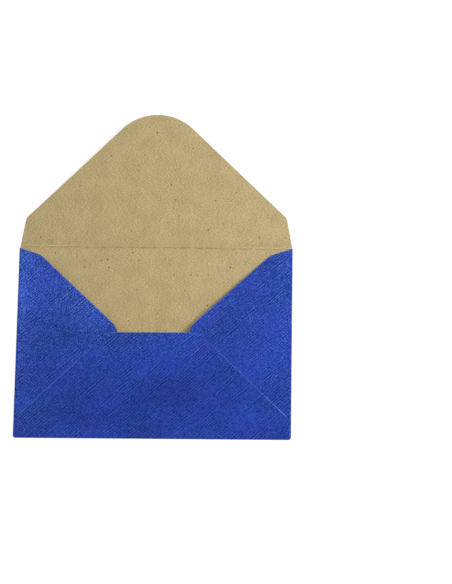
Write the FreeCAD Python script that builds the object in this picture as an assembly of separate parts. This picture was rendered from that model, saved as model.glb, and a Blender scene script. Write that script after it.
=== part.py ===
"""A paper envelope with its pointed flap open, cut and folded from one sheet.

The front panel lies face down. The two side flaps are turned in over it first, then the
bottom flap is turned up and glued to them along its two slanting edges, which makes the
pocket. The pointed top flap is creased and laid open. The empty pocket springs open a
little, so the back stands off the front in a low pillow.

Millimetres. The origin is the middle of the front panel's outer face, +Y points to the
open flap and +Z up, away from what the envelope lies on.
"""
import FreeCAD, Part
import math
import os

from FreeCAD import Vector

# The sheet, and the front panel between its folds
PAPER = 0.2
PANEL_WIDTH = 162.0
PANEL_HEIGHT = 114.0

# The side and bottom folds: the inside radius of the side folds, how far a fold stops
# short of the panel's corner, and how far the empty pocket stands open
FOLD_RADIUS = 0.2
CORNER_NOTCH = 0.8
POCKET_RISE = 6.0

# Side flaps: from the fold to the blunt end, whose half height is given
SIDE_REACH = 60.0
SIDE_END_HALF = 7.4
SIDE_END_RADIUS = 12.0
SIDE_SHOULDER_RUN = 12.5
SIDE_SHOULDER_DROP = 4.2
SIDE_SHOULDER_RADIUS = 14.0

# Bottom flap: its slanting edges overlap the side flaps' lower edges by the glued lap
BOTTOM_REACH = 61.9
GLUED_LAP = 13.3
BOTTOM_SHOULDER_DEG = 3.0
BOTTOM_SHOULDER_RADIUS = 4.0
BOTTOM_CORNER_RADIUS = 6.0

# Top flap: reach from crease to tip seen from above, and its outline
FLAP_REACH = 79.5
FLAP_TIP_RADIUS = 31.0
FLAP_SHOULDER_RISE = 17.5
FLAP_SHOULDER_DEG = 10.5
FLAP_SHOULDER_RADIUS = 5.0

# The scored crease of the top flap, and how the opened flap lies: it springs up by an
# angle at the crease and curls up along a large radius
SCORE_WIDTH = 0.8
SCORE_HEIGHT = 0.1
FLAP_SPRING_DEG = 3.0
FLAP_CURL_RADIUS = 1200.0

# The pillow's control heights as shares of its full rise, from fold to fold across and
# from the bottom fold to the throat: two zeros in a row hold the fold flat
RISE_ACROSS = (0, 0, 1, 1, 1, 1, 1, 0, 0)
RISE_UPWARD = (0, 0, 1, 1, 1, 1, 1)

# Places worked out from the sizes above. The bottom flap lies on the side flaps, so its
# fold is wider by one sheet.
bottom_fold_radius = FOLD_RADIUS + PAPER / 2
top = PANEL_HEIGHT / 2
side_line = PANEL_WIDTH / 2 - FOLD_RADIUS - PAPER
bottom_line = -PANEL_HEIGHT / 2 + bottom_fold_radius + PAPER
side_underside = PAPER + 2 * FOLD_RADIUS
bottom_underside = PAPER + 2 * bottom_fold_radius
side_fold_half = top - CORNER_NOTCH
bottom_fold_half = PANEL_WIDTH / 2 - CORNER_NOTCH
tall = 2 * POCKET_RISE + FLAP_REACH


def line(start, end):
    return Part.LineSegment(start, end).toShape()


def arc(start, middle, end):
    return Part.Arc(start, middle, end).toShape()


def outline(corners):
    """The closed outline, in plan, through corners of (x, y, radius); each radius is
    limited to what the shorter of its two sides leaves room for."""
    starts = []
    edges = []
    for i, (x, y, radius) in enumerate(corners):
        corner = Vector(x, y, 0)
        before = Vector(*corners[i - 1][:2], 0) - corner
        after = Vector(*corners[(i + 1) % len(corners)][:2], 0) - corner
        half_angle = before.getAngle(after) / 2
        room = 0.45 * min(before.Length, after.Length)
        setback = min(radius / math.tan(half_angle), room)
        radius = setback * math.tan(half_angle)
        before.normalize()
        after.normalize()
        first = corner + before * setback
        last = corner + after * setback
        if radius:
            inward = (before + after).normalize()
            middle = corner + inward * (radius / math.sin(half_angle) - radius)
            edges.append(arc(first, middle, last))
        starts.append((first, last))
    for i, (first, _) in enumerate(starts):
        edges.append(line(starts[i - 1][1], first))
    return Part.Face(Part.Wire(Part.__sortEdges__(edges)))


def mirrored(corners):
    """Corners of a left half, followed by their mirror images back to the start."""
    return corners + [(-x, y, radius) for x, y, radius in reversed(corners)]


def meeting(point, along, other, other_along):
    """Where two lines in plan cross, each given by a point and a direction."""
    gap = other - point
    turn = along.x * other_along.y - along.y * other_along.x
    return point + along * ((gap.x * other_along.y - gap.y * other_along.x) / turn)


def column(face):
    """The upright block over a plan outline, taller than the envelope."""
    block = face.extrude(Vector(0, 0, 2 * tall))
    block.translate(Vector(0, 0, -tall))
    return block


def section(path, shift):
    """The face between a path of edges and its copy moved by shift."""
    wire = Part.Wire(path)
    copy = wire.copy()
    copy.translate(shift)
    ends = (wire.OrderedVertexes[0].Point, wire.OrderedVertexes[-1].Point)
    closing = [line(end, end + shift) for end in ends]
    return Part.Face(Part.Wire(Part.__sortEdges__(wire.Edges + copy.Edges + closing)))


def bend(start, outward, radius):
    """The section of a fold turned through half a circle. start is the end of the flat
    sheet's outer face, outward points away from the panel, radius is the inside one."""
    up = Vector(0, 0, 1)
    outer = radius + PAPER
    centre = start + up * outer
    outside = arc(start, centre + outward * outer, centre + up * outer)
    inside = arc(start + up * PAPER, centre + outward * radius, centre + up * radius)
    flat_end = line(start, start + up * PAPER)
    turned_end = line(centre + up * radius, centre + up * outer)
    return Part.Face(Part.Wire(Part.__sortEdges__([outside, turned_end, inside, flat_end])))


def pillow(height):
    """The sheet over the pocket, its underside this high at the folds."""
    surface = Part.BezierSurface()
    across = len(RISE_ACROSS) - 1
    upward = len(RISE_UPWARD) - 1
    surface.increase(across, upward)
    for i, share in enumerate(RISE_ACROSS):
        x = side_line * (2 * i / across - 1)
        for j, share_up in enumerate(RISE_UPWARD):
            y = bottom_line + (top - bottom_line) * j / upward
            z = height + POCKET_RISE * share * share_up
            surface.setPole(i + 1, j + 1, Vector(x, y, z))
    return surface.toShape().extrude(Vector(0, 0, PAPER))


def panel_and_top_flap():
    """The front panel, the scored crease and the opened flap: one strip seen from the
    side, drawn out across the sheet and cut to the outline seen from above."""
    spring = math.radians(FLAP_SPRING_DEG)
    root = Vector(0, top + SCORE_WIDTH / 2, 0)
    centre = root + Vector(0, -math.sin(spring), math.cos(spring)) * FLAP_CURL_RADIUS
    tip_angle = spring + 1.1 * FLAP_REACH / FLAP_CURL_RADIUS

    def curl(angle):
        return centre + Vector(0, math.sin(angle), -math.cos(angle)) * FLAP_CURL_RADIUS

    score = Vector(0, top - SCORE_WIDTH / 2, 0)
    strip = section(
        [
            line(Vector(0, bottom_line, 0), score),
            arc(score, Vector(0, top, SCORE_HEIGHT), root),
            arc(root, curl((spring + tip_angle) / 2), curl(tip_angle)),
        ],
        Vector(0, 0, PAPER),
    )
    strip.translate(Vector(-PANEL_WIDTH, 0, 0))
    lean = math.tan(math.radians(FLAP_SHOULDER_DEG))
    shoulder = Vector(-side_line + lean * FLAP_SHOULDER_RISE, top + FLAP_SHOULDER_RISE, 0)
    # The slanting edge leaves the shoulder as a tangent to the round of the tip
    round_centre = Vector(0, top + FLAP_REACH - FLAP_TIP_RADIUS, 0)
    to_centre = round_centre - shoulder
    slant = math.atan2(to_centre.y, to_centre.x)
    slant += math.asin(FLAP_TIP_RADIUS / to_centre.Length)
    apex = round_centre.y + FLAP_TIP_RADIUS / math.cos(slant)
    left = [
        (-side_line, bottom_line, 0),
        (-side_line, top, 0),
        (shoulder.x, shoulder.y, FLAP_SHOULDER_RADIUS),
    ]
    cut = left + [(0, apex, FLAP_TIP_RADIUS)] + mirrored(left)[len(left):]
    return strip.extrude(Vector(2 * PANEL_WIDTH, 0, 0)).common(column(outline(cut)))


def side_flap_corners():
    """The left flap's lower half, from its end up to the fold and back."""
    end = -side_line + SIDE_REACH
    shoulder = -side_line + SIDE_SHOULDER_RUN
    return [
        (end, SIDE_END_HALF, SIDE_END_RADIUS),
        (shoulder, side_fold_half - SIDE_SHOULDER_DROP, SIDE_SHOULDER_RADIUS),
        (-side_line, side_fold_half, 0),
    ]


def left_side_flap():
    upper = side_flap_corners()
    lower = [(x, -y, radius) for x, y, radius in reversed(upper)]
    return pillow(side_underside).common(column(outline(upper + lower)))


def left_side_fold():
    profile = bend(Vector(-side_line, -side_fold_half, 0), Vector(-1, 0, 0), FOLD_RADIUS)
    return profile.extrude(Vector(0, 2 * side_fold_half, 0))


def bottom_flap():
    """Its slanting edge runs along the side flap's lower edge, one glued lap outside it,
    up to the straight top edge and down to the short shoulder at the fold."""
    end, shoulder = (Vector(x, -y, 0) for x, y, _ in side_flap_corners()[:2])
    along = (end - shoulder).normalize()
    seam = end + Vector(-along.y, along.x, 0) * GLUED_LAP
    top_edge = Vector(0, -PANEL_HEIGHT / 2 + BOTTOM_REACH, 0)
    fold_end = Vector(-bottom_fold_half, bottom_line, 0)
    lean = math.radians(BOTTOM_SHOULDER_DEG)
    upper = meeting(seam, along, top_edge, Vector(1, 0, 0))
    lower = meeting(seam, along, fold_end, Vector(math.sin(lean), math.cos(lean), 0))
    left = [
        (fold_end.x, fold_end.y, 0),
        (lower.x, lower.y, BOTTOM_SHOULDER_RADIUS),
        (upper.x, upper.y, BOTTOM_CORNER_RADIUS),
    ]
    return pillow(bottom_underside).common(column(outline(mirrored(left))))


def bottom_fold():
    start = Vector(-bottom_fold_half, bottom_line, 0)
    profile = bend(start, Vector(0, -1, 0), bottom_fold_radius)
    return profile.extrude(Vector(2 * bottom_fold_half, 0, 0))


def envelope_sheet():
    left = [left_side_flap(), left_side_fold()]
    right = [piece.mirror(Vector(0, 0, 0), Vector(1, 0, 0)) for piece in left]
    pieces = left + right + [bottom_fold(), bottom_flap()]
    return panel_and_top_flap().fuse(pieces).removeSplitter()


sheet = envelope_sheet()
box = sheet.BoundBox
print(f"solids {len(sheet.Solids)}, valid {sheet.isValid()}, faces {len(sheet.Faces)}")
print(f"box {box.XLength:.2f} x {box.YLength:.2f} x {box.ZLength:.2f} mm")
print(f"volume {sheet.Volume:.1f} mm3, paper area {sheet.Volume / PAPER / 100:.1f} cm2")

os.makedirs("parts", exist_ok=True)
sheet.exportStep("parts/envelope_sheet.step")
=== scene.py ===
# %% [markdown]
# # A paper envelope, folded from its flat blank
#
# The object is one sheet of paper: blue and pearly outside, brown kraft inside, embossed
# all over with fine slanting lines. A die cuts its outline, a machine scores it, turns the
# two side flaps in, turns the bottom flap up over them and glues the slanting seams.
# The pointed top flap is scored and laid open.
#
# This lesson makes it the same way. First the flat blank is drawn and meshed, then one
# Geometry Nodes tree gives it its thickness and folds it. A sheet that was really folded
# in the model has one lasting advantage: every point remembers where it was on the flat
# sheet, so the embossed lines turn over at the folds exactly as they do on paper.

# %% The frame that the envelope is built into
import math

import bmesh
import bpy
import numpy as np
from mathutils import Matrix, Vector
from mathutils.geometry import delaunay_2d_cdt


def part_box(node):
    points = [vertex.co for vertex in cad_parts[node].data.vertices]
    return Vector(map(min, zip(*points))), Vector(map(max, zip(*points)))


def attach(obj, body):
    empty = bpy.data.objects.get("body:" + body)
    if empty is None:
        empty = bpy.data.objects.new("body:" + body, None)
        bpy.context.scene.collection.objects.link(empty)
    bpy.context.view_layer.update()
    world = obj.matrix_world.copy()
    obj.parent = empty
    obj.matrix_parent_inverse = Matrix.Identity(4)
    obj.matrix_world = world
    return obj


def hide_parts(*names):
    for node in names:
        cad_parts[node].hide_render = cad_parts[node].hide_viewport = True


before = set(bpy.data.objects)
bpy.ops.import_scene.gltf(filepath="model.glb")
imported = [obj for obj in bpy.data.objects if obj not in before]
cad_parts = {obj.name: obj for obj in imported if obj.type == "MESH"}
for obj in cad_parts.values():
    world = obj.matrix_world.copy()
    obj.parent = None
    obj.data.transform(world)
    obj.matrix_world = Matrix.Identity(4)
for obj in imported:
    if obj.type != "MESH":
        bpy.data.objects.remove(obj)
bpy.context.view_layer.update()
lowest, highest = (Vector(corner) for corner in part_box("envelope_sheet"))
print("frame box in mm", [round(1000 * side, 2) for side in highest - lowest])

# %% [markdown]
# ## Sizes
#
# The frame gives the outer sizes of the folded envelope: its width, the bottom fold and
# the tip of the open flap. The origin is the middle of the front panel, so the panel is
# as high above it as below. The other sizes are those of the real blank, in millimetres.
# Blender works in metres, so each is written as a number times MM.

# %% Sizes of the sheet, its folds and its flaps
MM = 0.001

PAPER = 0.2 * MM
SIDE_FOLD_RADIUS = 0.2 * MM
GLUE_FILM = 0.01 * MM
CORNER_NOTCH = 0.8 * MM

SIDE_REACH = 60 * MM
SIDE_END_HALF = 7.4 * MM
SIDE_END_RADIUS = 12 * MM
SIDE_SHOULDER_RUN = 12.5 * MM
SIDE_SHOULDER_DROP = 4.2 * MM
SIDE_SHOULDER_RADIUS = 14 * MM

BOTTOM_REACH = 61.9 * MM
GLUED_LAP = 13.3 * MM
BOTTOM_SHOULDER_LEAN = math.radians(3)
BOTTOM_SHOULDER_RADIUS = 4 * MM
BOTTOM_CORNER_RADIUS = 6 * MM

FLAP_TIP_RADIUS = 31 * MM
FLAP_SHOULDER_RISE = 17.5 * MM
FLAP_SHOULDER_LEAN = math.radians(10.5)
FLAP_SHOULDER_RADIUS = 5 * MM

# The bottom flap lies on the side flaps, so its fold is wider by one sheet of paper
BOTTOM_FOLD_RADIUS = SIDE_FOLD_RADIUS + (PAPER + GLUE_FILM) / 2

half_width = highest.x
half_height = -lowest.y
crease = half_height
flap_reach = highest.y - crease
side_line = half_width - SIDE_FOLD_RADIUS - PAPER
bottom_line = -half_height + BOTTOM_FOLD_RADIUS + PAPER
side_turn = math.pi * (SIDE_FOLD_RADIUS + PAPER / 2)
bottom_turn = math.pi * (BOTTOM_FOLD_RADIUS + PAPER / 2)
print(f"panel {2 * half_width / MM:.1f} x {2 * half_height / MM:.1f} mm")
print(f"paper used up by a side fold {side_turn / MM:.2f} mm,",
      f"by the bottom fold {bottom_turn / MM:.2f} mm")

# %% [markdown]
# ## The outline of the blank
#
# A blank is straight edges and rounded corners, so it is written as a list of corners,
# each with its radius. Only the right half is listed; the left half is its mirror image.
# The list runs anticlockwise from the middle of the bottom flap to the tip.
#
# A flap is measured on the folded envelope, and its corner is then unfolded: it moves out
# past the fold line by its own distance from it, plus the paper that the bend uses up.

# %% Corners of the right half of the blank
BEND_STEPS = 10


def meeting(point, along, other, other_along):
    """Where two lines cross, each given by a point and a direction."""
    gap = other - point
    turn = along.cross(other_along)
    return point + along * (gap.cross(other_along) / turn)


def unfold_side(x, y):
    """A point of the right side flap, from the folded envelope to the flat blank."""
    return side_line + side_turn + (side_line - x), y


def unfold_bottom(x, y):
    return x, bottom_line - bottom_turn - (y - bottom_line)


side_fold_end = half_height - CORNER_NOTCH
bottom_fold_end = half_width - CORNER_NOTCH
bend_shares = [step / BEND_STEPS for step in range(BEND_STEPS + 1)]

side_end = Vector((side_line - SIDE_REACH, -SIDE_END_HALF))
side_shoulder = Vector((side_line - SIDE_SHOULDER_RUN, SIDE_SHOULDER_DROP - side_fold_end))
seam_along = (side_end - side_shoulder).normalized()
seam_point = side_end + Vector((seam_along.y, -seam_along.x)) * GLUED_LAP
bottom_lean = Vector((-math.sin(BOTTOM_SHOULDER_LEAN), math.cos(BOTTOM_SHOULDER_LEAN)))
bottom_corner = meeting(seam_point, seam_along,
                        Vector((0, BOTTOM_REACH - half_height)), Vector((1, 0)))
bottom_shoulder = meeting(seam_point, seam_along,
                          Vector((bottom_fold_end, bottom_line)), bottom_lean)

flap_shoulder = Vector((side_line - math.tan(FLAP_SHOULDER_LEAN) * FLAP_SHOULDER_RISE,
                        crease + FLAP_SHOULDER_RISE))
tip_centre = Vector((0, crease + flap_reach - FLAP_TIP_RADIUS))
to_centre = tip_centre - flap_shoulder
slant = math.atan2(to_centre.y, -to_centre.x) + math.asin(FLAP_TIP_RADIUS / to_centre.length)
apex = (0, tip_centre.y + FLAP_TIP_RADIUS / math.cos(slant))

right_half = [
    (*unfold_bottom(*bottom_corner), BOTTOM_CORNER_RADIUS),
    (*unfold_bottom(*bottom_shoulder), BOTTOM_SHOULDER_RADIUS),
    *[(bottom_fold_end, bottom_line - share * bottom_turn, 0) for share in reversed(bend_shares)],
    (side_line, bottom_line, 0),
    *[(side_line + share * side_turn, -side_fold_end, 0) for share in bend_shares],
    (*unfold_side(*side_shoulder), SIDE_SHOULDER_RADIUS),
    (*unfold_side(*side_end), SIDE_END_RADIUS),
    (*unfold_side(side_end.x, -side_end.y), SIDE_END_RADIUS),
    (*unfold_side(side_shoulder.x, -side_shoulder.y), SIDE_SHOULDER_RADIUS),
    *[(side_line + share * side_turn, side_fold_end, 0) for share in reversed(bend_shares)],
    (side_line, crease, 0),
    (*flap_shoulder, FLAP_SHOULDER_RADIUS),
]
left_half = [(-x, y, radius) for x, y, radius in reversed(right_half)]
blank_corners = right_half + [(*apex, FLAP_TIP_RADIUS)] + left_half
print(f"{len(blank_corners)} corners,",
      f"slanting edge of the top flap at {math.degrees(slant):.1f} degrees")

# %% [markdown]
# ## From corners to an even line of points
#
# Each corner becomes an arc that is tangent to both its sides, and each straight side is
# divided so that the edge can follow the curved back later. A second line runs a hair's
# breadth inside the first. The strip between them is the bruised rim that a die leaves:
# it slopes down a little, catches the light and shows the core of the paper. Its pale
# colour, partly rubbed coat and partly painted highlight, is why the glued seam on the
# back of an envelope can be seen at all.

# %% Outline of the blank, and the line just inside it
ARC_STEP = math.radians(5)
MESH_PITCH = 1.6 * MM
RIM_WIDTH = 0.14 * MM
RUBBED_AND_LIT_WIDTH = 0.55 * MM


def rounded(before, corner, after, radius):
    """The arc that rounds one corner, as points."""
    if not radius:
        return [corner]
    back, ahead = (before - corner).normalized(), (after - corner).normalized()
    half_angle = back.angle(ahead) / 2
    centre = corner + (back + ahead).normalized() * (radius / math.sin(half_angle))
    spoke = corner + back * (radius / math.tan(half_angle)) - centre
    turn = math.copysign(math.pi - 2 * half_angle, ahead.cross(back))
    steps = max(2, math.ceil(abs(turn) / ARC_STEP))
    return [centre + Matrix.Rotation(turn * i / steps, 2) @ spoke for i in range(steps + 1)]


def divided(points, pitch):
    """The closed line through points, with more points on each side longer than pitch."""
    result = []
    for start, end in zip(points, points[1:] + points[:1]):
        count = max(1, round((end - start).length / pitch))
        result += [start.lerp(end, i / count) for i in range(count)]
    return result


def inset(points, width):
    """The closed line moved to its left, which is inwards on an anticlockwise line."""
    result = []
    for i, point in enumerate(points):
        sides = [(point - points[i - 1]).normalized(),
                 (points[(i + 1) % len(points)] - point).normalized()]
        normals = [Vector((-side.y, side.x)) for side in sides]
        mitre = (normals[0] + normals[1]) / (1 + normals[0].dot(normals[1]))
        result.append(point + mitre * width)
    return result


corner_points = [Vector(corner[:2]) for corner in blank_corners]
outline = []
for i, corner in enumerate(corner_points):
    after = corner_points[(i + 1) % len(corner_points)]
    outline += rounded(corner_points[i - 1], corner, after, blank_corners[i][2])
outline = divided(outline, MESH_PITCH)
rim_line = inset(outline, RIM_WIDTH)
rubbed_and_lit_line = inset(outline, RUBBED_AND_LIT_WIDTH)
outline_length = sum((a - b).length for a, b in zip(outline, outline[1:] + outline[:1]))
print(f"{len(outline)} points, {outline_length / MM:.0f} mm of cut edge")

# %% [markdown]
# ## Meshing the flat sheet
#
# Paper bends in one direction at a time, so the mesh needs close rows of points only
# across the folds and the score, and an even grid elsewhere. The rows and columns are
# laid out first, the points that fall inside the blank are kept, and Blender's
# constrained Delaunay triangulation joins them to the two outlines. Pairs of triangles
# are then joined into squares, which shade more evenly on a curved sheet.

# %% Rows, columns and the triangulated blank
LEAST_RUBBED_AND_LIT = 0.1
SCORE_WIDTH = 0.8 * MM
SCORE_ROWS = 8


def spread(low, high, pitch):
    """Evenly spaced values from low to high, about pitch apart."""
    return np.linspace(low, high, max(2, round((high - low) / pitch) + 1))


def clear_of_line(points, line, gap):
    """Which points lie inside a closed line and at least gap away from it."""
    starts = np.array([tuple(point) for point in line])
    ends = np.roll(starts, -1, axis=0)
    keep = np.zeros(len(points), dtype=bool)
    for i, point in enumerate(points):
        side = ends - starts
        share = np.clip(((point - starts) * side).sum(1) / (side * side).sum(1), 0, 1)
        distance = np.linalg.norm(starts + share[:, None] * side - point, axis=1).min()
        spans = (starts[:, 1] > point[1]) != (ends[:, 1] > point[1])
        rise = np.where(side[:, 1] == 0, 1, side[:, 1])
        crossing = starts[:, 0] + (point[1] - starts[:, 1]) / rise * side[:, 0]
        inside = np.count_nonzero(spans & (crossing > point[0])) % 2 == 1
        keep[i] = inside and distance > gap
    return keep


def without_repeats(*runs):
    return sorted({round(float(value), 7) for run in runs for value in run})


blank_low = min(point.y for point in outline)
blank_high = max(point.y for point in outline)
blank_wide = max(point.x for point in outline)
right_columns = without_repeats(
    spread(0, side_line, MESH_PITCH),
    [side_line + share * side_turn for share in bend_shares],
    spread(side_line + side_turn, blank_wide, MESH_PITCH),
)
columns = [-x for x in reversed(right_columns[1:])] + right_columns
rows = without_repeats(
    spread(blank_low, bottom_line - bottom_turn, MESH_PITCH),
    [bottom_line - share * bottom_turn for share in bend_shares],
    spread(bottom_line, crease - SCORE_WIDTH / 2, MESH_PITCH),
    spread(crease - SCORE_WIDTH / 2, crease + SCORE_WIDTH / 2, SCORE_WIDTH / SCORE_ROWS),
    spread(crease + SCORE_WIDTH / 2, blank_high, MESH_PITCH),
)
grid = np.array([(x, y) for x in columns for y in rows])
grid = grid[clear_of_line(grid, rubbed_and_lit_line, 0.3 * MESH_PITCH)]

count = len(outline)
loop = [(i, (i + 1) % count) for i in range(count)]
edges = [(a + shift, b + shift) for shift in (0, count, 2 * count) for a, b in loop]
points = outline + rim_line + rubbed_and_lit_line + [Vector(point) for point in grid]
flat_points, _, faces, point_sources, _, _ = delaunay_2d_cdt(points, edges, [], 1, 1e-7)

sheet = bmesh.new()
seam_low = unfold_bottom(*bottom_corner)[1] + BOTTOM_CORNER_RADIUS / 3
seam_high = unfold_bottom(*bottom_shoulder)[1] - BOTTOM_SHOULDER_RADIUS / 3
rim_layer = sheet.verts.layers.float.new("rim")
edge_layer = sheet.verts.layers.float.new("edge")
for place, sources in zip(flat_points, point_sources):
    corner = sheet.verts.new((*place, 0))
    corner[rim_layer] = 1.0 if min(sources) < count else 0.0
    # The edge mark is part rubbed coat, part painted highlight: faint on most cut edges, it grows
    # up the glued seam.
    up_the_seam = (place.y - seam_low) / (seam_high - seam_low)
    up_the_seam = up_the_seam if 0 < up_the_seam < 1 else 0
    rubbed_and_lit_by = LEAST_RUBBED_AND_LIT + (1 - LEAST_RUBBED_AND_LIT) * up_the_seam
    corner[edge_layer] = rubbed_and_lit_by if min(sources) < 2 * count else 0.0
sheet.verts.ensure_lookup_table()
for face in faces:
    sheet.faces.new([sheet.verts[i] for i in face])
bmesh.ops.join_triangles(
    sheet, faces=sheet.faces, angle_face_threshold=0.1, angle_shape_threshold=math.radians(30)
)
bmesh.ops.recalc_face_normals(sheet, faces=sheet.faces)
if sum(face.normal.z for face in sheet.faces) < 0:
    bmesh.ops.reverse_faces(sheet, faces=sheet.faces)
blank_mesh = bpy.data.meshes.new("flat_blank")
sheet.to_mesh(blank_mesh)
sheet.free()
blank_area = sum(face.area for face in blank_mesh.polygons)
print(f"blank: {len(blank_mesh.vertices)} points, {len(blank_mesh.polygons)} faces, "
      f"{blank_area * 1e4:.1f} cm2")

# %% [markdown]
# ## Helpers for nodes and colours
#
# Both the finishes and the folding are node trees written in code, so one small function
# adds any node: its settings are given by name, and its inputs are values or the outputs
# of other nodes, in the order of its sockets or by name. It returns the first output that
# is in use, which is nearly always the one that is wanted. A second one starts a group
# with named sockets, so that a rule can be used twice with other sizes.

# %% A node, a group and a colour
MATH = "ShaderNodeMath"


def add(tree, kind, *inputs, named=None, **settings):
    """Adds one node, sets it up, links its inputs and returns its first output."""
    node = tree.nodes.new(kind)
    for name, value in settings.items():
        setattr(node, name, value)
    for key, value in [*enumerate(inputs), *(named or {}).items()]:
        if isinstance(value, bpy.types.NodeSocket):
            tree.links.new(value, node.inputs[key])
        elif value is not None:
            node.inputs[key].default_value = value
    return next((output for output in node.outputs if output.enabled), None)


def start_group(name, kind, inputs, outputs):
    """A node group with these sockets: the tree, and its inputs by name."""
    tree = bpy.data.node_groups.new(name, kind)
    for label, form in inputs.items():
        tree.interface.new_socket(label, in_out="INPUT", socket_type=form)
    for label, form in outputs.items():
        tree.interface.new_socket(label, in_out="OUTPUT", socket_type=form)
    given = tree.nodes.new("NodeGroupInput")
    return tree, {socket.name: socket for socket in given.outputs}


def colour(hex_value):
    """An sRGB hex colour as the linear values that a shader takes."""
    channels = [int(hex_value[i:i + 2], 16) / 255 for i in (1, 3, 5)]
    linear = [c / 12.92 if c <= 0.04045 else ((c + 0.055) / 1.055) ** 2.4 for c in channels]
    return (*linear, 1.0)


print("kraft brown, linear", [round(channel, 3) for channel in colour("#B29F74")])

# %% [markdown]
# ## What the embossing is
#
# The sheet has been pressed between rollers engraved with fine straight lines, as if drawn
# with a comb: all slanting the same way, each line some millimetres long, in patches that
# are now crowded and now nearly bare. A noise stretched along the lines would look like
# brushed hair. A comb leaves evenly spaced lines, which is a wave: the distance across the
# lines goes through a cosine, a slow noise shifts it so that no two lines are quite
# parallel, and a noise stretched along the lines says how deeply they are pressed.
#
# One group makes one set of such lines, from -1 in a groove to 1 on a ridge. The sheet has
# a coarse set, a good millimetre apart, and a finer one. Both read the attribute "blank",
# the place that a point had on the flat sheet, so the lines turn over at the folds. The
# same relief is on both faces, raised on one where it is sunk on the other, and both
# finishes use it.

# %% One set of combed lines
SWAY = 1.3
SWAY_ALONG = 0.25
SWAY_ACROSS = 0.22
PRESS_ACROSS = 0.45
BARE_FADE = 0.28
LEAST_PRESSED = 0.2

combed, given = start_group(
    "Combed lines", "ShaderNodeTree",
    {name: "NodeSocketFloat" for name in ("Along", "Across", "Pitch", "Length", "Bare", "Seed")},
    {"Lines": "NodeSocketFloat"},
)
long_along = add(combed, MATH, given["Along"], given["Length"], operation="DIVIDE")
strips = add(combed, MATH, given["Across"], given["Pitch"], operation="DIVIDE")
shifted = add(combed, MATH, long_along, SWAY_ALONG, given["Seed"], operation="MULTIPLY_ADD")
across = add(combed, MATH, strips, SWAY_ACROSS, operation="MULTIPLY")
sway_place = add(combed, "ShaderNodeCombineXYZ", shifted, across, 0.0)
sway = add(combed, "ShaderNodeTexNoise", sway_place, noise_dimensions="2D",
           named={"Scale": 1.0, "Detail": 0.0})
turns = add(combed, MATH, sway, SWAY, strips, operation="MULTIPLY_ADD")
wave = add(combed, MATH, turns, 2 * math.pi, operation="MULTIPLY")
wave = add(combed, MATH, wave, operation="COSINE")
shifted = add(combed, MATH, long_along, given["Seed"], operation="ADD")
across = add(combed, MATH, strips, PRESS_ACROSS, operation="MULTIPLY")
press_place = add(combed, "ShaderNodeCombineXYZ", shifted, across, 0.0)
pressed = add(combed, "ShaderNodeTexNoise", press_place, noise_dimensions="2D",
              named={"Scale": 1.0, "Detail": 1.0})
fully = add(combed, MATH, given["Bare"], BARE_FADE, operation="ADD")
pressed = add(combed, "ShaderNodeMapRange", pressed, given["Bare"], fully, LEAST_PRESSED, 1.0)
lines = add(combed, MATH, wave, pressed, operation="MULTIPLY")
add(combed, "NodeGroupOutput", lines)
print("one set of lines:", len(combed.nodes), "nodes")

# %% The relief of the whole sheet
LINE_ANGLE = math.radians(-41)
COARSE_LINES = {"Pitch": 1.4 * MM, "Length": 8 * MM, "Seed": 0.0}
FINE_LINES = {"Pitch": 1.0 * MM, "Length": 6 * MM, "Bare": 0.42, "Seed": 40.0}
PATCH_SIZE = 16 * MM
BARE_WHERE_SPARSE, BARE_WHERE_CROWDED = 0.5, 0.34
FINE_SHARE = 0.8

emboss, _ = start_group("Embossed sheet", "ShaderNodeTree", {}, {
    "Relief": "NodeSocketFloat", "Flat": "NodeSocketVector",
})
flat_place = add(emboss, "ShaderNodeAttribute", attribute_name="blank").node.outputs["Vector"]
turned = add(emboss, "ShaderNodeMapping", flat_place, None, (0, 0, -LINE_ANGLE))
line_axes = add(emboss, "ShaderNodeSeparateXYZ", turned).node.outputs
patches = add(emboss, "ShaderNodeTexNoise", flat_place, noise_dimensions="2D",
              named={"Scale": 1 / PATCH_SIZE, "Detail": 1.0})
bare = add(emboss, "ShaderNodeMapRange", patches, 0.35, 0.65,
           BARE_WHERE_SPARSE, BARE_WHERE_CROWDED)
coarse, fine = (
    add(emboss, "ShaderNodeGroup", line_axes["X"], line_axes["Y"], node_tree=combed, named=lines)
    for lines in ({**COARSE_LINES, "Bare": bare}, FINE_LINES)
)
relief = add(emboss, MATH, fine, FINE_SHARE, coarse, operation="MULTIPLY_ADD")
add(emboss, "NodeGroupOutput", relief, flat_place)
print("embossing:", len(emboss.nodes), "nodes")

# %% [markdown]
# ## The outside: pearl-coated blue paper
#
# A coat of dyed mica flakes lies over the paper. It is neither plain paint nor metal, so
# the shader is given a little of a metal's character, a satin roughness and a sheen that
# leans to cyan. What else can be seen up close:
#
# * the engraved grooves are drawn darker, as painted shade,
# * the flakes give a fine grain all over, and each gleams more or less than the next;
#   real ones are far smaller than half a millimetre and are drawn coarser, to show,
# * the ridges, polished by the rollers, gleam more than the grooves, and are drawn paler
#   as a painted highlight,
# * the blue leans to violet in some patches and to cyan in others,
# * where the sheet is bent or cut the coat is rubbed, so a fold or a glued flap's edge
#   shows as a fine paler line; along the glued seam that line is also a painted highlight,
#   drawn strongest there and faint on the other cut edges. The attributes "bent" and
#   "edge" say where that is.

# %% Shared steps of a paper finish
def start_finish(name):
    """A new material with its nodes cleared: the tree, and the material."""
    material = bpy.data.materials.new(name)
    material.use_nodes = True
    material.node_tree.nodes.clear()
    return material.node_tree, material


def mottle(tree, place, size, low, high, detail=1.0):
    """Soft patches of this size, as values that run from low to high."""
    patches = add(tree, "ShaderNodeTexNoise", place, noise_dimensions="2D",
                  named={"Scale": 1 / size, "Detail": detail})
    return add(tree, "ShaderNodeMapRange", patches, 0.3, 0.7, low, high)


def blend(tree, share, under, over):
    """One colour laid over another by a share from 0 to 1."""
    return add(tree, "ShaderNodeMix", data_type="RGBA", named={0: share, 6: under, 7: over})


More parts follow.
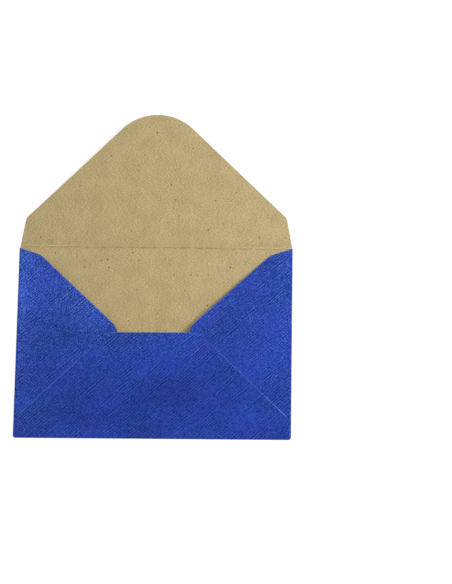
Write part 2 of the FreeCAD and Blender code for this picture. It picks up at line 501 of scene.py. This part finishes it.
# %% The pearl coat
PEARL_VIOLET = "#213194"
PEARL_CYAN = "#1C3594"
PEARL_GROOVE_SHADE = "#07165C"
PEARL_RIDGE_HIGHLIGHT = "#3254BA"
PEARL_RUBBED_AND_LIT = "#5E88DC"
PEARL_SHEEN = "#AAE6FF"
PEARL_RELIEF = 0.014 * MM
FLAKE_SIZE = 0.4 * MM
GRAIN_SIZE = 1.15 * MM
FLAKE_TILT = 0.05
PEARL_PATCH = 22 * MM
CLOUD_STRETCH = 0.6
RUBBED_AND_LIT_PATCH = 20 * MM
BEND_RUBBED = 0.25
METAL_SHARE = 0.2
ROUGH_GROOVE, ROUGH_RIDGE = 0.29, 0.23
GLEAM_GROOVE, GLEAM_RIDGE = 0.2, 0.52

pearl_tree, pearl_paper = start_finish("embossed_blue_pearl_paper")
embossed = add(pearl_tree, "ShaderNodeGroup", node_tree=emboss).node.outputs
relief, flat_place = embossed["Relief"], embossed["Flat"]
lean = mottle(pearl_tree, flat_place, PEARL_PATCH, 0.0, 1.0)
shade = blend(pearl_tree, lean, colour(PEARL_VIOLET), colour(PEARL_CYAN))
cells = add(pearl_tree, "ShaderNodeTexVoronoi", flat_place, voronoi_dimensions="2D",
            named={"Scale": 1 / FLAKE_SIZE})
flake = cells.node.outputs["Color"]
flakes = add(pearl_tree, "ShaderNodeMapRange", flake, 0.0, 1.0, 0.6, 1.4)
banded = add(pearl_tree, "ShaderNodeMapping", flat_place, None, (0, 0, -LINE_ANGLE),
             (CLOUD_STRETCH, 1, 1))
cloud = mottle(pearl_tree, banded, PEARL_PATCH, 0.84, 1.16)
grain = add(pearl_tree, "ShaderNodeTexVoronoi", flat_place, voronoi_dimensions="2D",
            named={"Scale": 1 / GRAIN_SIZE})
grain = add(pearl_tree, "ShaderNodeMapRange", grain, 0.1, 0.65, 1.12, 0.88)
light = add(pearl_tree, MATH, flakes, cloud, operation="MULTIPLY")
light = add(pearl_tree, MATH, light, grain, operation="MULTIPLY")
shade = add(pearl_tree, "ShaderNodeHueSaturation", named={"Value": light, "Color": shade})
# Painted highlight: the ridges are drawn paler.
ridge_highlight = add(pearl_tree, "ShaderNodeMapRange", relief, 0.3, 1.5, 0.0, 0.6)
shade = blend(pearl_tree, ridge_highlight, shade, colour(PEARL_RIDGE_HIGHLIGHT))
# Painted shade: the grooves are drawn darker.
groove_shade = add(pearl_tree, "ShaderNodeMapRange", relief, -0.2, -1.1, 0.0, 1.0)
shade = blend(pearl_tree, groove_shade, shade, colour(PEARL_GROOVE_SHADE))
# Rubbed edges and folds are drawn paler; along the glued seam this pale line is partly a painted
# highlight.
edge = add(pearl_tree, "ShaderNodeAttribute", attribute_name="edge").node.outputs["Fac"]
bent = add(pearl_tree, "ShaderNodeAttribute", attribute_name="bent").node.outputs["Fac"]
bent = add(pearl_tree, MATH, bent, BEND_RUBBED, operation="MULTIPLY")
rubbed_and_lit = add(pearl_tree, MATH, edge, bent, operation="MAXIMUM")
rubbing_and_light = mottle(pearl_tree, flat_place, RUBBED_AND_LIT_PATCH, 0.2, 1.0, 4.0)
rubbed_and_lit = add(pearl_tree, MATH, rubbed_and_lit, rubbing_and_light, operation="MULTIPLY")
shade = blend(pearl_tree, rubbed_and_lit, shade, colour(PEARL_RUBBED_AND_LIT))
rough = add(pearl_tree, "ShaderNodeMapRange", relief, -1.0, 1.0, ROUGH_GROOVE, ROUGH_RIDGE)
gleam = add(pearl_tree, "ShaderNodeMapRange", relief, -0.9, 0.9, GLEAM_GROOVE, GLEAM_RIDGE)
sparkle = add(pearl_tree, "ShaderNodeMapRange", flake, 0.1, 0.9, 0.0, 2.0)
gleam = add(pearl_tree, MATH, gleam, sparkle, operation="MULTIPLY")
bump = add(pearl_tree, "ShaderNodeBump", named={"Height": relief, "Distance": PEARL_RELIEF})
tilt = add(pearl_tree, "ShaderNodeVectorMath", flake, (0.5, 0.5, 0.5), operation="SUBTRACT")
facing = add(pearl_tree, "ShaderNodeVectorMath", tilt, (FLAKE_TILT,) * 3, bump,
             operation="MULTIPLY_ADD")
facing = add(pearl_tree, "ShaderNodeVectorMath", facing, operation="NORMALIZE")
surface = add(pearl_tree, "ShaderNodeBsdfPrincipled", named={
    "Base Color": shade, "Metallic": METAL_SHARE, "Roughness": rough,
    "Specular IOR Level": gleam, "Specular Tint": colour(PEARL_SHEEN), "Normal": facing,
})
add(pearl_tree, "ShaderNodeOutputMaterial", surface)
print(pearl_paper.name, "with", len(pearl_tree.nodes), "nodes")

# %% [markdown]
# ## The inside: brown kraft paper
#
# Kraft is unbleached pulp, rough and matt. Up close it is a felt of fibres in slightly
# different browns, with a speck of bark here and there. The embossing comes through
# faintly, raised here where it is sunk on the outside, and in the colour as painted shade
# and highlight: raised lines are drawn a little paler, sunk ones darker. Along the score the
# fibres are crushed, and the mark there is partly that and partly painted light: a fine
# pale line as a painted highlight, a darker line in the crease as painted shade, and a soft
# dark band above it as a painted shadow. The pale line is strongest towards the ends and
# the dark one in the middle. The mark runs a little askew from one end to the other.

# %% The felt of fibres and the specks
KRAFT_DARK = "#99855B"
KRAFT_BODY = "#B29F74"
KRAFT_PALE = "#CAB88C"
KRAFT_SPECK = "#543A22"
FIBRE_WIDTH = 0.39 * MM
FIBRE_LENGTH = 1.0 * MM
SPECK_SPACING = 4.5 * MM
SPECK_SIZE = 0.62 * MM
SPECK_EDGE = 40.0
KRAFT_PATCH = 10 * MM
RELIEF_PAINTED_LIGHT = -0.03
FIBRE_ANGLES = (15, 65, 125)

kraft_tree, kraft_paper = start_finish("brown_kraft_paper")
embossed = add(kraft_tree, "ShaderNodeGroup", node_tree=emboss).node.outputs
relief, flat_place = embossed["Relief"], embossed["Flat"]
fibres = []
for angle in FIBRE_ANGLES:
    laid = add(kraft_tree, "ShaderNodeMapping", flat_place, None, (0, 0, math.radians(angle)),
               (1 / FIBRE_LENGTH, 1 / FIBRE_WIDTH, 1.0))
    fibres.append(add(kraft_tree, "ShaderNodeTexNoise", laid, noise_dimensions="2D",
                      named={"Scale": 1.0, "Detail": 1.0}))
felt = add(kraft_tree, MATH, fibres[0], fibres[1], operation="ADD")
felt = add(kraft_tree, MATH, felt, fibres[2], operation="ADD")
felt = add(kraft_tree, MATH, felt, 3.0, operation="DIVIDE")
# Painted shade and highlight from the embossing: raised lines are drawn paler, sunk ones darker.
felt_and_painted_relief = add(kraft_tree, MATH, relief, RELIEF_PAINTED_LIGHT, felt, operation="MULTIPLY_ADD")
shade = add(kraft_tree, "ShaderNodeValToRGB", felt_and_painted_relief)
ramp = shade.node.color_ramp
ramp.elements[0].position, ramp.elements[0].color = 0.36, colour(KRAFT_DARK)
ramp.elements[1].position, ramp.elements[1].color = 0.68, colour(KRAFT_PALE)
middle = ramp.elements.new(0.52)
middle.color = colour(KRAFT_BODY)
cloud = mottle(kraft_tree, flat_place, KRAFT_PATCH, 0.945, 1.055, 3.0)
shade = add(kraft_tree, "ShaderNodeHueSaturation", named={"Value": cloud, "Color": shade})
specks = add(kraft_tree, "ShaderNodeTexVoronoi", flat_place, voronoi_dimensions="2D",
             named={"Scale": 1 / SPECK_SPACING})
chance = specks.node.outputs["Color"]
size = add(kraft_tree, "ShaderNodeMapRange", chance, 0.53, 1.0, 0.0, SPECK_SIZE / SPECK_SPACING)
speck = add(kraft_tree, MATH, size, specks, operation="SUBTRACT")
speck = add(kraft_tree, MATH, speck, SPECK_EDGE, operation="MULTIPLY", use_clamp=True)
strength = add(kraft_tree, "ShaderNodeMapRange", chance, 0.62, 0.88, 0.2, 1.0)
speck = add(kraft_tree, MATH, speck, strength, operation="MULTIPLY")
shade = blend(kraft_tree, speck, shade, colour(KRAFT_SPECK))

# %% The crushed fibres and painted light along the score
KRAFT_CRUSHED_HIGHLIGHT = "#DCCDA4"
KRAFT_BRUISED_SHADE = "#84704A"
SCORE_LINE = 0.3 * MM
SCORE_SKEW = 0.0105
WAVER_SIZE = 26 * MM
WAVER = 0.35 * MM
BREAK_SIZE = 5 * MM
SCORE_ENDS_FROM = 35 * MM
SCORE_ENDS_TO = 60 * MM

x, y, _ = add(kraft_tree, "ShaderNodeSeparateXYZ", flat_place).node.outputs
along_score = add(kraft_tree, "ShaderNodeCombineXYZ", x, 0.0, 0.0)
waver = mottle(kraft_tree, along_score, WAVER_SIZE, -WAVER, WAVER, 4.0)
waver = add(kraft_tree, MATH, x, SCORE_SKEW, waver, operation="MULTIPLY_ADD")
above_score = add(kraft_tree, MATH, y, waver, operation="ADD")
above_score = add(kraft_tree, MATH, above_score, crease, operation="SUBTRACT")
broken = mottle(kraft_tree, along_score, BREAK_SIZE, -0.1, 1.2, 3.0)
near_ends = add(kraft_tree, MATH, x, operation="ABSOLUTE")
near_ends = add(kraft_tree, "ShaderNodeMapRange", near_ends, SCORE_ENDS_FROM, SCORE_ENDS_TO, 0.0, 1.0)


def score_line(away, width, low, high):
    """A line along the score, this far above it: its strength runs from low in the middle
    of the envelope to high at the ends, and breaks up on the way."""
    gap = add(kraft_tree, MATH, above_score, away, operation="SUBTRACT")
    gap = add(kraft_tree, MATH, gap, operation="ABSOLUTE")
    line = add(kraft_tree, "ShaderNodeMapRange", gap, 0.3 * width, width, 1.0, 0.0)
    strength = add(kraft_tree, "ShaderNodeMapRange", near_ends, 0.0, 1.0, low, high)
    strength = add(kraft_tree, MATH, strength, broken, operation="MULTIPLY")
    return add(kraft_tree, MATH, line, strength, operation="MULTIPLY")


# Painted light along the score, partly crushed fibres too: a soft band above it as painted shadow,
# a dark line in the crease as painted shade, and a pale line as painted highlight.
for strength, tint in (
    (score_line(1.8 * MM, 10 * SCORE_LINE, 0.12, 0.2), KRAFT_BRUISED_SHADE),
    (score_line(-0.2 * MM, 2.5 * SCORE_LINE, 0.75, 0.45), KRAFT_BRUISED_SHADE),
    (score_line(0.25 * MM, SCORE_LINE, 0.2, 0.7), KRAFT_CRUSHED_HIGHLIGHT),
):
    shade = blend(kraft_tree, strength, shade, colour(tint))
print("score at y =", round(crease / MM, 1), "mm")

# %% The kraft face
KRAFT_RELIEF = 0.03 * MM
RELIEF_FROM_BEHIND = -0.15

height = add(kraft_tree, MATH, relief, RELIEF_FROM_BEHIND, felt, operation="MULTIPLY_ADD")
bump = add(kraft_tree, "ShaderNodeBump", named={"Height": height, "Distance": KRAFT_RELIEF})
surface = add(kraft_tree, "ShaderNodeBsdfPrincipled", named={
    "Base Color": shade, "Roughness": 0.9, "Specular IOR Level": 0.3, "Normal": bump,
})
add(kraft_tree, "ShaderNodeOutputMaterial", surface)
print(kraft_paper.name, "with", len(kraft_tree.nodes), "nodes")

# %% [markdown]
# ## The cut edge
#
# The die crushes the sheet as it cuts. The rim shows fibre ends that the blue coat has
# smeared over: a paler blue, quite matt, and darker where the edge was less rubbed. Along
# the glued seam, where the "edge" mark is strong, the pale blue is partly a painted
# highlight.

# %% The bruised rim and its painted highlight
EDGE_PALE_AND_LIT = "#6088D6"
EDGE_DARK = "#3458B4"
EDGE_SMEARED = "#1C3A98"
FRAY_SIZE = 1.5 * MM

edge_tree, cut_edge = start_finish("die_cut_paper_edge")
flat_place = add(edge_tree, "ShaderNodeAttribute", attribute_name="blank").node.outputs["Vector"]
frayed = add(edge_tree, "ShaderNodeTexNoise", flat_place,
             named={"Scale": 1 / FRAY_SIZE, "Detail": 3.0})
shade = add(edge_tree, "ShaderNodeValToRGB", frayed)
ramp = shade.node.color_ramp
ramp.elements[0].position, ramp.elements[0].color = 0.35, colour(EDGE_DARK)
ramp.elements[1].position, ramp.elements[1].color = 0.65, colour(EDGE_PALE_AND_LIT)
# Along the glued seam the rim takes the pale ramp, partly as a painted highlight; elsewhere the
# smeared blue.
edge = add(edge_tree, "ShaderNodeAttribute", attribute_name="edge").node.outputs["Fac"]
shade = blend(edge_tree, edge, colour(EDGE_SMEARED), shade)
surface = add(edge_tree, "ShaderNodeBsdfPrincipled", named={
    "Base Color": shade, "Roughness": 0.85, "Specular IOR Level": 0.3,
})
add(edge_tree, "ShaderNodeOutputMaterial", surface)
print(cut_edge.name, "with", len(edge_tree.nodes), "nodes")

# %% [markdown]
# ## One fold, as a rule
#
# Where a flap is turned over by half a circle, every point of the flat sheet moves on a
# circle about the fold's centre line. The length of sheet past the fold line, measured in
# the middle of the paper, says how far round it has gone; its height in the sheet says on
# which radius. Past half a turn the sheet runs straight back over the panel. The same
# group folds the side flaps and, with a larger radius, the bottom flap.

# %% The half turn
FLOAT = "NodeSocketFloat"

half_turn, given = start_group(
    "Half turn", "GeometryNodeTree",
    {"Past the line": FLOAT, "Height": FLOAT, "Inside radius": FLOAT, "Sheet": FLOAT},
    {"Outwards": FLOAT, "Folded height": FLOAT, "Bent": FLOAT},
)
centre = add(half_turn, MATH, given["Inside radius"], given["Sheet"], operation="ADD")
half_sheet = add(half_turn, MATH, given["Sheet"], 0.5, operation="MULTIPLY")
middle_radius = add(half_turn, MATH, given["Inside radius"], half_sheet, operation="ADD")
angle = add(half_turn, MATH, given["Past the line"], middle_radius, operation="DIVIDE")
angle = add(half_turn, "ShaderNodeClamp", angle, 0.0, math.pi)
spoke = add(half_turn, MATH, centre, given["Height"], operation="SUBTRACT")
sine = add(half_turn, MATH, angle, operation="SINE")
cosine = add(half_turn, MATH, angle, operation="COSINE")
bent = add(half_turn, MATH, middle_radius, math.pi, operation="MULTIPLY")
straight = add(half_turn, MATH, given["Past the line"], bent, operation="SUBTRACT")
straight = add(half_turn, MATH, straight, 0.0, operation="MAXIMUM")
outwards = add(half_turn, MATH, spoke, sine, operation="MULTIPLY")
outwards = add(half_turn, MATH, outwards, straight, operation="SUBTRACT")
down = add(half_turn, MATH, spoke, cosine, operation="MULTIPLY")
folded_height = add(half_turn, MATH, centre, down, operation="SUBTRACT")
add(half_turn, "NodeGroupOutput", outwards, folded_height, sine)
print("half turn:", len(half_turn.nodes), "nodes")

# %% [markdown]
# ## The pillow over the empty pocket
#
# An empty envelope doesn't lie dead flat. The folds are held down, and between them the
# back springs up. The height is a Bezier curve whose first two control points lie on the
# front panel, which keeps the fold's end level. Written out, what those two points take
# away at a share w of the way is w^(n-1) * (n - (n-1) w), with n the curve's degree.

# %% How much a held fold takes from the rise
held, given = start_group(
    "Held fold", "GeometryNodeTree", {"Nearness": FLOAT, "Degree": FLOAT}, {"Taken": FLOAT}
)
nearness = add(held, "ShaderNodeClamp", given["Nearness"])
lower = add(held, MATH, given["Degree"], 1.0, operation="SUBTRACT")
power = add(held, MATH, nearness, lower, operation="POWER")
rest = add(held, MATH, nearness, lower, operation="MULTIPLY")
rest = add(held, MATH, given["Degree"], rest, operation="SUBTRACT")
taken = add(held, MATH, power, rest, operation="MULTIPLY")
add(held, "NodeGroupOutput", taken)
print("held fold:", len(held.nodes), "nodes")

# %% [markdown]
# ## The whole tree: blank to envelope
#
# The tree takes the flat blank, gives it the thickness of the sheet, remembers each
# point's flat place, and then works out where that point goes:
#
# * the side flaps and the bottom flap go through the half turn,
# * what is folded over rises with the pillow,
# * the top flap springs up a little at the score and curls along a large radius,
# * the score raises a low, slightly uneven bead on the inside,
# * a soft noise makes every rise a little less even, as paper always is.
#
# All of it is plain arithmetic on the position, so the inputs can be changed later and
# the envelope folds itself again.

# %% Sockets of the folding tree
POCKET_RISE = 6.0 * MM
ACROSS_DEGREE = 8.0
UPWARD_DEGREE = 6.0
FLAP_SPRING = math.radians(3)
FLAP_CURL_RADIUS = 1200 * MM
SCORE_HEIGHT = 0.1 * MM
RIM_DROP = 0.04 * MM
UNEVENNESS = 0.18
UNEVEN_SIZE = 75 * MM
SCORE_UNEVEN_SIZE = 9 * MM
SCORE_WANDER = 0.3 * MM
MERGE_WITHIN = 0.01 * MM
SEED = 5.0

sizes = {
    "Sheet": PAPER,
    "Side line": side_line,
    "Bottom line": bottom_line,
    "Crease": crease,
    "Side fold radius": SIDE_FOLD_RADIUS,
    "Bottom fold radius": BOTTOM_FOLD_RADIUS,
    "Pocket rise": POCKET_RISE,
    "Flap spring": FLAP_SPRING,
    "Flap curl radius": FLAP_CURL_RADIUS,
    "Score width": SCORE_WIDTH,
    "Score height": SCORE_HEIGHT,
    "Rim drop": RIM_DROP,
    "Unevenness": UNEVENNESS,
    "Seed": SEED,
}
finishes = {"Outside": pearl_paper, "Inside": kraft_paper, "Cut edge": cut_edge}
GEOMETRY = "NodeSocketGeometry"
fold, given = start_group(
    "Fold the blank", "GeometryNodeTree",
    {"Blank": GEOMETRY, **{name: FLOAT for name in sizes},
     **{name: "NodeSocketMaterial" for name in finishes}},
    {"Envelope": GEOMETRY},
)
print("inputs:", ", ".join(sizes))

# %% [markdown]
# ### Thickness first
#
# Extruding the blank gives the inner face and the cut edge. The blank itself, turned
# over, is the outer face. Merging the two by distance closes the sheet. On the rim both
# faces draw in by a few hundredths of a millimetre.

# %% The sheet's thickness and its rim
extruded = add(fold, "GeometryNodeExtrudeMesh", given["Blank"], mode="FACES",
               named={"Offset Scale": given["Sheet"], "Individual": False})
inner_face, edge_face = extruded.node.outputs["Top"], extruded.node.outputs["Side"]
turned_over = add(fold, "GeometryNodeFlipFaces", given["Blank"])
slab = add(fold, "GeometryNodeJoinGeometry", extruded)
fold.links.new(turned_over, slab.node.inputs[0])
slab = add(fold, "GeometryNodeMergeByDistance", slab, named={"Distance": MERGE_WITHIN})

place = add(fold, "GeometryNodeInputPosition")
x, y, z = add(fold, "ShaderNodeSeparateXYZ", place).node.outputs
rim = add(fold, "GeometryNodeInputNamedAttribute", "rim", data_type="FLOAT")
draw_in = add(fold, MATH, z, given["Sheet"], operation="DIVIDE")
draw_in = add(fold, MATH, draw_in, -2.0, 1.0, operation="MULTIPLY_ADD")
draw_in = add(fold, MATH, draw_in, rim, operation="MULTIPLY")
draw_in = add(fold, MATH, draw_in, given["Rim drop"], operation="MULTIPLY")
draw_in = add(fold, "ShaderNodeCombineXYZ", 0.0, 0.0, draw_in)
slab = add(fold, "GeometryNodeSetPosition", slab, named={"Offset": draw_in})
slab = add(fold, "GeometryNodeStoreNamedAttribute", slab, data_type="FLOAT_VECTOR", domain="POINT",
           named={"Name": "blank", "Value": place})

# %% [markdown]
# ### Where each point goes
#
# A point on the right flap lies past the side line by its x less the line's; the left
# one is its mirror image, so the sign of x is kept aside. Outside its own flap a half
# turn does nothing, so both can be applied to every point, and their heights added.

# %% Turning the flaps in
distance_out = add(fold, MATH, x, operation="ABSOLUTE")
past_side = add(fold, MATH, distance_out, given["Side line"], operation="SUBTRACT")
past_bottom = add(fold, MATH, given["Bottom line"], y, operation="SUBTRACT")
side = add(fold, "GeometryNodeGroup", past_side, z, given["Side fold radius"], given["Sheet"],
           node_tree=half_turn)
bottom = add(fold, "GeometryNodeGroup", past_bottom, z, given["Bottom fold radius"],
             given["Sheet"], node_tree=half_turn)
new_x = add(fold, MATH, distance_out, given["Side line"], operation="MINIMUM")
new_x = add(fold, MATH, new_x, side, operation="ADD")
sign = add(fold, MATH, x, operation="SIGN")
new_x = add(fold, MATH, new_x, sign, operation="MULTIPLY")
new_y = add(fold, MATH, y, given["Bottom line"], operation="MAXIMUM")
new_y = add(fold, MATH, new_y, bottom, operation="SUBTRACT")
flat_height = add(fold, MATH, side.node.outputs[1], bottom.node.outputs[1], operation="ADD")
flat_height = add(fold, MATH, flat_height, z, operation="SUBTRACT")

# %% The pillow over the pocket
width = add(fold, MATH, given["Side line"], 2.0, operation="MULTIPLY")
from_left = add(fold, MATH, new_x, given["Side line"], operation="ADD")
from_left = add(fold, MATH, from_left, width, operation="DIVIDE")
from_right = add(fold, MATH, 1.0, from_left, operation="SUBTRACT")
depth = add(fold, MATH, given["Crease"], given["Bottom line"], operation="SUBTRACT")
from_top = add(fold, MATH, given["Crease"], new_y, operation="SUBTRACT")
from_top = add(fold, MATH, from_top, depth, operation="DIVIDE")
left_hold, right_hold, bottom_hold = (
    add(fold, "GeometryNodeGroup", nearness, degree, node_tree=held)
    for nearness, degree in (
        (from_left, ACROSS_DEGREE), (from_right, ACROSS_DEGREE), (from_top, UPWARD_DEGREE)
    )
)
across = add(fold, MATH, left_hold, right_hold, operation="ADD")
across = add(fold, MATH, 1.0, across, operation="SUBTRACT")
upward = add(fold, MATH, 1.0, bottom_hold, operation="SUBTRACT")
pillow = add(fold, MATH, across, upward, operation="MULTIPLY")
pillow = add(fold, MATH, pillow, given["Pocket rise"], operation="MULTIPLY")
turned_in = add(fold, MATH, past_side, past_bottom, operation="MAXIMUM")
turned_in = add(fold, MATH, turned_in, 0.0, operation="GREATER_THAN")
pillow = add(fold, MATH, pillow, turned_in, operation="MULTIPLY")

# %% The open flap and the score
half_score = add(fold, MATH, given["Score width"], 0.5, operation="MULTIPLY")
past_crease = add(fold, MATH, y, given["Crease"], operation="SUBTRACT")
on_flap = add(fold, MATH, past_crease, half_score, operation="SUBTRACT")
on_flap = add(fold, MATH, on_flap, 0.0, operation="MAXIMUM")
lean = add(fold, MATH, on_flap, given["Flap curl radius"], operation="DIVIDE")
spring_sine = add(fold, MATH, given["Flap spring"], operation="SINE")
spring_cosine = add(fold, MATH, given["Flap spring"], operation="COSINE")
lean = add(fold, MATH, lean, spring_sine, operation="ADD")
level = add(fold, MATH, lean, lean, operation="MULTIPLY")
level = add(fold, MATH, 1.0, level, operation="SUBTRACT")
level = add(fold, MATH, level, operation="SQRT")
flap_rise = add(fold, MATH, spring_cosine, level, operation="SUBTRACT")
flap_rise = add(fold, MATH, flap_rise, given["Flap curl radius"], operation="MULTIPLY")

place_x = add(fold, "ShaderNodeCombineXYZ", x, 0.0, 0.0)
score_noise = add(fold, "ShaderNodeTexNoise", place_x, given["Seed"], noise_dimensions="4D",
                  named={"Scale": 1 / SCORE_UNEVEN_SIZE, "Detail": 2.0})
score_shift = add(fold, MATH, score_noise, 0.5, operation="SUBTRACT")
score_shift = add(fold, MATH, score_shift, SCORE_WANDER, operation="MULTIPLY")
across_score = add(fold, MATH, past_crease, score_shift, operation="ADD")
across_score = add(fold, MATH, across_score, half_score, operation="DIVIDE")
across_score = add(fold, MATH, across_score, across_score, operation="MULTIPLY")
bead = add(fold, MATH, 1.0, across_score, operation="SUBTRACT")
bead = add(fold, MATH, bead, 0.0, operation="MAXIMUM")
bead = add(fold, MATH, bead, given["Score height"], operation="MULTIPLY")

# %% Everything together
new_place = add(fold, "ShaderNodeCombineXYZ", new_x, new_y, given["Seed"])
uneven = add(fold, "ShaderNodeTexNoise", new_place, noise_dimensions="3D",
             named={"Scale": 1 / UNEVEN_SIZE, "Detail": 1.0})
uneven = add(fold, MATH, uneven, given["Unevenness"], operation="MULTIPLY")
uneven = add(fold, MATH, 1.0, uneven, operation="SUBTRACT")
rise = add(fold, MATH, pillow, flap_rise, operation="ADD")
rise = add(fold, MATH, rise, uneven, operation="MULTIPLY")
new_z = add(fold, MATH, flat_height, rise, operation="ADD")
new_z = add(fold, MATH, new_z, bead, operation="ADD")
new_place = add(fold, "ShaderNodeCombineXYZ", new_x, new_y, new_z)
envelope = add(fold, "GeometryNodeSetPosition", slab, named={"Position": new_place})
bent = add(fold, MATH, side.node.outputs["Bent"], bottom.node.outputs["Bent"], operation="MAXIMUM")
envelope = add(fold, "GeometryNodeStoreNamedAttribute", envelope, data_type="FLOAT",
               domain="POINT", named={"Name": "bent", "Value": bent})

on_rim = add(fold, MATH, rim, edge_face, operation="ADD")
envelope = add(fold, "GeometryNodeRealizeInstances", envelope)
envelope = add(fold, "GeometryNodeSetMaterial", envelope, named={"Material": given["Outside"]})
for faces, finish in ((on_rim, "Cut edge"), (inner_face, "Inside")):
    envelope = add(fold, "GeometryNodeSetMaterial", envelope, faces, given[finish])
add(fold, "NodeGroupOutput", envelope)
print("folding tree:", len(fold.nodes), "nodes")

# %% [markdown]
# ## Folding it
#
# The modifier's inputs are set by their identifiers before anything is evaluated. The
# result is then made a plain mesh, because what leaves this file should not depend on a
# live tree, and its edges are marked sharp where the sheet is cut and left smooth where
# it bends.

# %% The folded envelope as a plain mesh
SHARP_ABOVE = math.radians(35)

blank_mesh.materials.append(pearl_paper)
blank = bpy.data.objects.new("flat_blank", blank_mesh)
bpy.context.scene.collection.objects.link(blank)
modifier = blank.modifiers.new("Fold", "NODES")
modifier.node_group = fold
identifiers = {item.name: item.identifier for item in fold.interface.items_tree}
for name, value in (sizes | finishes).items():
    modifier[identifiers[name]] = value
folded = blank.evaluated_get(bpy.context.evaluated_depsgraph_get())
envelope_mesh = bpy.data.meshes.new_from_object(folded)
envelope_mesh.name = "folded_envelope"
envelope_mesh.shade_smooth()
envelope_mesh.set_sharp_from_angle(angle=SHARP_ABOVE)
envelope = bpy.data.objects.new("folded_envelope", envelope_mesh)
bpy.context.scene.collection.objects.link(envelope)
bpy.data.objects.remove(blank)

triangles = sum(len(face.vertices) - 2 for face in envelope_mesh.polygons)
print(f"{len(envelope_mesh.vertices)} points, {triangles} triangles,",
      "materials", [material.name for material in envelope_mesh.materials])

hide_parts("envelope_sheet")
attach(envelope, "root")

# %% [markdown]
# ## Is the sheet closed?
#
# A sheet with thickness is a closed shell: every edge has two faces. A quick count in
# bmesh says so, and the shell's volume over its thickness gives back the blank's area.

# %% Checks on the folded mesh
shell = bmesh.new()
shell.from_mesh(envelope_mesh)
open_edges = sum(not edge.is_manifold for edge in shell.edges)
volume = shell.calc_volume()
shell.free()
print(f"open edges {open_edges}, volume {volume * 1e9:.0f} mm3,",
      f"area {volume / PAPER * 1e4:.1f} cm2")

# %% [markdown]
# ## The table, the light and the camera
#
# The envelope lies on white paper. A soft box at the right lights it, and a wide window
# behind gives the coat its gleam, strongest near the top. The floor is a pale matt surface
# to diffuse rays. To the camera and in reflections part of its light is given and part is
# received, which makes it white and still keeps the shadow. It lies a hair lower than the
# envelope, so that the two never share a plane.

# %% The white table
FLOOR_SIZE = 4.0
FLOOR_GAP = 0.02 * MM
FLOOR_GIVEN = 0.72
FLOOR_RECEIVED = "#A8A8A8"
FLOOR_PALE = "#E6E6E6"

floor_mesh = bpy.data.meshes.new("white_table")
half_floor = FLOOR_SIZE / 2
floor_mesh.from_pydata(
    [(x, y, -FLOOR_GAP) for x, y in ((-half_floor, -half_floor), (half_floor, -half_floor),
                                     (half_floor, half_floor), (-half_floor, half_floor))],
    [], [(0, 1, 2, 3)],
)
floor = bpy.data.objects.new("white_table", floor_mesh)
bpy.context.scene.collection.objects.link(floor)
floor_tree, table_white = start_finish("white_table_paper")
rays = add(floor_tree, "ShaderNodeLightPath").node.outputs
seen = add(floor_tree, MATH, rays["Is Camera Ray"], rays["Is Glossy Ray"], operation="MAXIMUM")
seen = add(floor_tree, MATH, seen, rays["Is Transmission Ray"], operation="MAXIMUM")
given_light = add(floor_tree, "ShaderNodeEmission", named={"Strength": FLOOR_GIVEN})
received = add(floor_tree, "ShaderNodeBsdfDiffuse", colour(FLOOR_RECEIVED))
white = add(floor_tree, "ShaderNodeAddShader", given_light, received)
pale = add(floor_tree, "ShaderNodeBsdfDiffuse", colour(FLOOR_PALE))
add(floor_tree, "ShaderNodeOutputMaterial",
    add(floor_tree, "ShaderNodeMixShader", seen, pale, white))
floor_mesh.materials.append(table_white)
print("floor", FLOOR_SIZE, "m square")

# %% Soft light from the right and from a window behind
SKY_LIGHT = 0.29

world = bpy.data.worlds.new("soft_studio")
bpy.context.scene.world = world
world.use_nodes = True
sky = world.node_tree
sky.nodes.clear()
rays = add(sky, "ShaderNodeLightPath").node.outputs
seen = add(sky, MATH, rays["Is Camera Ray"], rays["Is Glossy Ray"], operation="MAXIMUM")
seen = add(sky, MATH, seen, rays["Is Transmission Ray"], operation="MAXIMUM")
strength = add(sky, "ShaderNodeMix", seen, None, SKY_LIGHT, 1.0)
add(sky, "ShaderNodeOutputWorld", add(sky, "ShaderNodeBackground", colour("#FFFFFF"), strength))

for name, place, width, depth, power in (
    ("softbox_right", Vector((0.42, 0.08, 0.46)), 0.25, 0.25, 2.9),
    ("window_behind", Vector((-0.09, 0.3, 0.7)), 0.42, 0.2, 1.6),
):
    light = bpy.data.lights.new(name, "AREA")
    light.shape = "RECTANGLE"
    light.size, light.size_y, light.energy = width, depth, power
    lamp = bpy.data.objects.new(name, light)
    lamp.location = place
    lamp.rotation_euler = (-place).to_track_quat("-Z", "Y").to_euler()
    bpy.context.scene.collection.objects.link(lamp)
    print(name, "at", [round(v, 2) for v in place])

# %% [markdown]
# ## The camera
#
# The photograph looks down on the envelope from a little in front, about twelve degrees
# off the vertical, and leaves the right-hand side of the picture free. Its place and aim
# come from the envelope's corners and crease in the picture.

# %% The camera
CAMERA_PLACE = Vector((107.7, -205.4, 1149.4)) * MM
CAMERA_AIM = Vector((42.0, 30.2, 0)) * MM
CAMERA_ROLL = math.radians(0.9)
FOCAL_PIXELS = 2000
PICTURE_HEIGHT = 584

camera = bpy.data.cameras.new("camera")
camera.sensor_width = 36
camera.lens = FOCAL_PIXELS / PICTURE_HEIGHT * camera.sensor_width
camera_object = bpy.data.objects.new("camera", camera)
look = (CAMERA_AIM - CAMERA_PLACE).normalized()
right = look.cross(Vector((0, 1, 0))).normalized()
upright = Matrix((right, right.cross(look), -look)).transposed()
turned = upright @ Matrix.Rotation(CAMERA_ROLL, 3, "Z")
camera_object.matrix_world = Matrix.Translation(CAMERA_PLACE) @ turned.to_4x4()
bpy.context.scene.collection.objects.link(camera_object)
bpy.context.scene.camera = camera_object
bpy.context.scene.view_settings.view_transform = "Standard"
print(f"camera {math.degrees(math.asin(-look.z)):.1f} degrees above the table")
